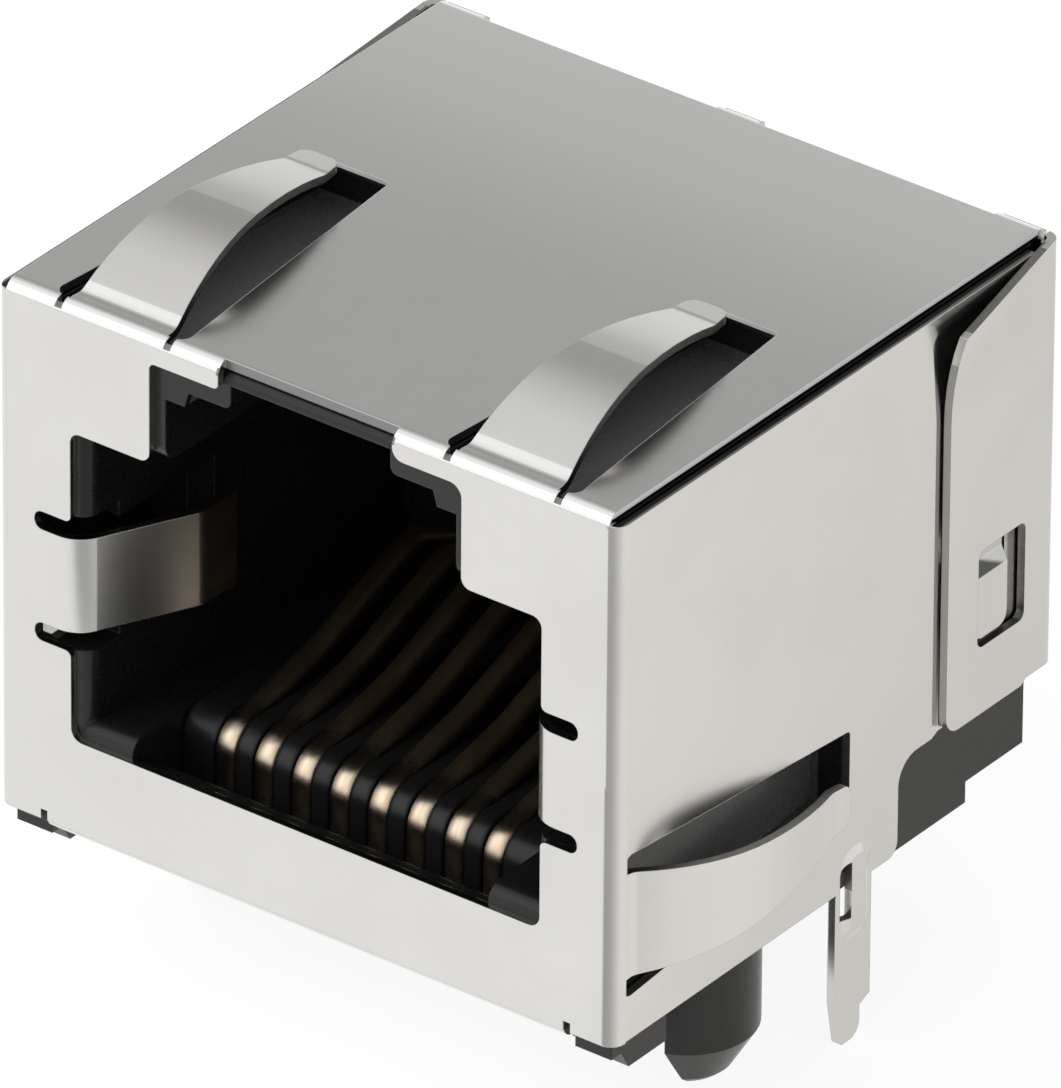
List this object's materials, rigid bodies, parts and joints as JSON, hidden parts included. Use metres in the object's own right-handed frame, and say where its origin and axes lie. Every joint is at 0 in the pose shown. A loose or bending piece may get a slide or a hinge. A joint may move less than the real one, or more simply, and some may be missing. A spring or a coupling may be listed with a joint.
{
  "type": "rj45 board jack",
  "caption": "Shielded right-angle modular jack for a circuit board, latch side up, with bowed spring fingers on the roof and sides, plug grounding fingers, locating pegs and ground tabs.",
  "frame": {"origin": "on the circuit board's surface, midway between the two locating pegs", "axes": "+Z away from the board, -Y towards the plug side, +X to the right when facing the mouth"},
  "size_m": [0.0188, 0.0154, 0.018],
  "materials": {
    "plated_sheet": "bright plated sheet",
    "black_moulding": "fine matt moulding",
    "black_insert": "fine matt moulding",
    "contact_plating": "gold plated"
  },
  "bodies": {
    "root": {"shield": "plated_sheet", "housing": "black_moulding", "contact_carrier": "black_insert", "contact_1": "contact_plating", "contact_2": "contact_plating", "contact_3": "contact_plating", "contact_4": "contact_plating", "contact_5": "contact_plating", "contact_6": "contact_plating", "contact_7": "contact_plating", "contact_8": "contact_plating"}
  },
  "joints": []
}
